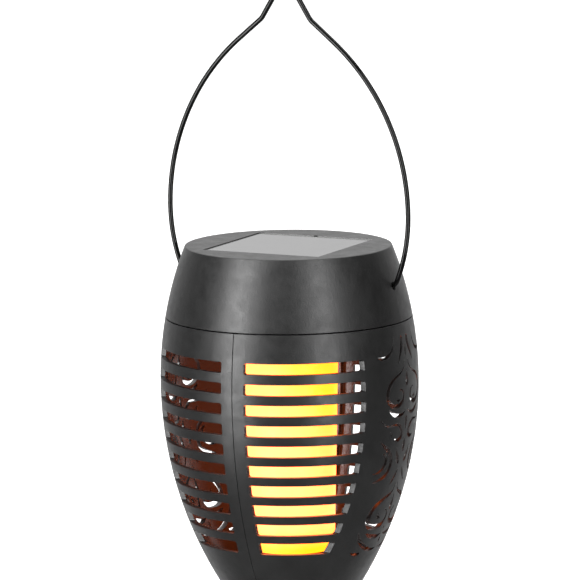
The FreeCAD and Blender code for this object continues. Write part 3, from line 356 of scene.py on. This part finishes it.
def panel_cover():
    """Clear epoxy over the cells, slightly hazed and wavy. At a slant its grey haze turns
    opaque: partly real haze and partly painted reflection, which hides the cells there.
    """
    made, tree, shader = start_material("panel_cover")
    # The grey is partly the resin's own haze and partly painted reflection of the room on the cover.
    haze_and_painted_reflection = two_tone(tree, noise(tree, scale=90.0, detail=4.0), grey(0.090), grey(0.102))
    tree.links.new(haze_and_painted_reflection, shader.inputs["Base Color"])
    gloss = spread(tree, noise(tree, scale=160.0), low=0.07, high=0.10)
    tree.links.new(gloss, shader.inputs["Roughness"])
    # Opaque at a slant, so there the grey paints part of the reflection that hides the cells.
    slant = add(tree, "ShaderNodeLayerWeight", Blend=0.5)
    hiding = spread(tree, slant.outputs["Facing"], low=0.35, high=1.0, start=0.30, end=0.80)
    tree.links.new(hiding, shader.inputs["Alpha"])
    shader.inputs["IOR"].default_value = 1.5
    grain(tree, shader, noise(tree, scale=70.0, detail=1.0), depth=0.000002)
    return made


def brushed_metal(name, dark, light, rough):
    """Plated or drawn metal with fine streaks."""
    made, tree, shader = start_material(name)
    streaks = noise(tree, scale=500.0, detail=4.0, roughness=0.6, stretch=(1, 1, 6))
    tree.links.new(two_tone(tree, streaks, dark, light), shader.inputs["Base Color"])
    gloss = spread(tree, streaks, low=rough - 0.06, high=rough + 0.08)
    tree.links.new(gloss, shader.inputs["Roughness"])
    shader.inputs["Metallic"].default_value = 1.0
    grain(tree, shader, streaks, depth=0.00001)
    return made


def dressed(node, material):
    """Gives a CAD node a material, and smooth shading that keeps its edges."""
    mesh = NODES[node].data
    mesh.materials.clear()
    mesh.materials.append(material)
    even = NODES[node].modifiers.new("even_normals", "WEIGHTED_NORMAL")
    even.keep_sharp = True


MATERIALS = {
    "black_plastic": moulded_plastic("black_plastic", grey(0.007), grey(0.011), 0.40,
                                     edge=0.0003, inside=0.13),
    "black_wire": coated_wire(),
    "diffuser": lit_diffuser(),
    "led_lens": lit_led(),
    "white_plastic": moulded_plastic("white_plastic", grey(0.66), grey(0.78), 0.45),
    "flex_film": moulded_plastic("flex_film", (0.7, 0.66, 0.52, 1), (0.82, 0.78, 0.66, 1), 0.5),
    "green_board": circuit_board("green_board", (0.012, 0.09, 0.035, 1), (0.03, 0.17, 0.06, 1)),
    "black_chip": moulded_plastic("black_chip", grey(0.015), grey(0.03), 0.5),
    "copper_coil": brushed_metal("copper_coil", (0.45, 0.16, 0.06, 1), (0.72, 0.32, 0.15, 1), 0.35),
    "metal_can": brushed_metal("metal_can", grey(0.5), grey(0.7), 0.3),
    "screw_steel": brushed_metal("screw_steel", grey(0.4), grey(0.62), 0.32),
    "contact_nickel": brushed_metal("contact_nickel", (0.5, 0.48, 0.44, 1), (0.68, 0.66, 0.6, 1), 0.28),
    "cell_wrap": moulded_plastic("cell_wrap", (0.02, 0.13, 0.04, 1), (0.03, 0.19, 0.06, 1), 0.28,
                                 texture_scale=900.0),
    "seal_rubber": moulded_plastic("seal_rubber", grey(0.02), grey(0.035), 0.7,
                                   texture_scale=1800.0, texture_depth=0.00004),
    "solar_silicon": silicon(),
    "ribbon_tin": brushed_metal("ribbon_tin", grey(0.55), grey(0.75), 0.3),
    "clear_resin": panel_cover(),
    "red_sleeve": moulded_plastic("red_sleeve", (0.32, 0.008, 0.008, 1), (0.45, 0.015, 0.012, 1), 0.4),
    "black_sleeve": moulded_plastic("black_sleeve", grey(0.012), grey(0.022), 0.4),
    "button_rubber": moulded_plastic("button_rubber", grey(0.04), grey(0.06), 0.5),
}

for part in frame["record"]["subparts"]:
    dressed(part["node"], MATERIALS[part["material_slot"]])


# ---- the stage, the light and the camera ----

def pale_floor():
    """A wide pale floor at the lantern's foot, with a glow of its own, left out of reflections."""
    bpy.ops.mesh.primitive_plane_add(size=FLOOR_SIZE, location=(0, 0, cad_box[0][2]))
    floor = bpy.context.object
    floor.name = "floor"
    made, tree, shader = start_material("floor_paper")
    paper = two_tone(tree, noise(tree, scale=3.0), grey(0.86), grey(0.9))
    tree.links.new(paper, shader.inputs["Base Color"])
    shader.inputs["Roughness"].default_value = 0.9
    shader.inputs["Specular IOR Level"].default_value = 0.1
    shader.inputs["Emission Color"].default_value = grey(1.0)
    shader.inputs["Emission Strength"].default_value = FLOOR_GLOW
    floor.data.materials.append(made)
    floor.visible_glossy = False


def sight(azimuth, elevation):
    """The unit vector from the lantern towards a viewer at that azimuth and elevation."""
    a, e = math.radians(azimuth), math.radians(elevation)
    return Vector((math.sin(a) * math.cos(e), -math.cos(a) * math.cos(e), math.sin(e)))


def softbox(name, azimuth, elevation, distance, size, watts):
    """A rectangular area light that faces the lantern from that azimuth and elevation."""
    data = bpy.data.lights.new(name, "AREA")
    data.shape = "RECTANGLE"
    data.size, data.size_y = size
    data.energy = watts
    lamp = bpy.data.objects.new(name, data)
    bpy.context.scene.collection.objects.link(lamp)
    middle = Vector((0, 0, AIM_HEIGHT))
    lamp.location = middle + sight(azimuth, elevation) * distance
    lamp.rotation_euler = (middle - lamp.location).to_track_quat("-Z", "Y").to_euler()


def room():
    """The room around: bright behind the lantern and dim in front, over a bright floor. The
    camera itself sees it plain white."""
    world = bpy.data.worlds.new("studio")
    bpy.context.scene.world = world
    world.use_nodes = True
    tree = world.node_tree
    back = tree.nodes["Background"]
    back.inputs["Color"].default_value = grey(1.0)
    direction = tree.nodes.new("ShaderNodeTexCoord").outputs["Generated"]
    away = dotted(tree, direction, -sight(CAMERA_AZIMUTH, 0.0))
    start, end = ROOM_TURN
    around = spread(tree, away, ROOM_DIM, ROOM_BRIGHT, start=start, end=end)
    start, end = FLOOR_TURN
    below = spread(tree, height_of(tree, direction), FLOOR_SHINE, 0.0, start=start, end=end)
    seen = tree.nodes.new("ShaderNodeLightPath").outputs["Is Camera Ray"]
    strength = blended(tree, "FLOAT", seen, added(tree, around, below), 1.0)
    tree.links.new(strength, back.inputs["Strength"])


def camera():
    """The long lens, set so that the frame's height at the lantern is FRAME_HEIGHT."""
    data = bpy.data.cameras.new("camera")
    data.sensor_width = SENSOR
    data.lens = SENSOR * CAMERA_DISTANCE / FRAME_HEIGHT
    data.clip_end = CLIP_END
    view = bpy.data.objects.new("camera", data)
    bpy.context.scene.collection.objects.link(view)
    azimuth = math.radians(CAMERA_AZIMUTH)
    aim = Vector((math.cos(azimuth), math.sin(azimuth), 0)) * AIM_RIGHT + Vector((0, 0, AIM_HEIGHT))
    view.location = aim + sight(CAMERA_AZIMUTH, CAMERA_ELEVATION) * CAMERA_DISTANCE
    facing = (aim - view.location).to_track_quat("-Z", "Y").to_matrix().to_4x4()
    rolled = facing @ Matrix.Rotation(math.radians(CAMERA_ROLL), 4, "Z")
    view.matrix_world = Matrix.Translation(view.location) @ rolled
    bpy.context.scene.camera = view


bpy.context.scene.view_settings.view_transform = "Standard"
pale_floor()
room()
for name, turn, elevation, distance, size, watts in SOFTBOXES:
    softbox(name, CAMERA_AZIMUTH + turn, elevation, distance, size, watts)
camera()
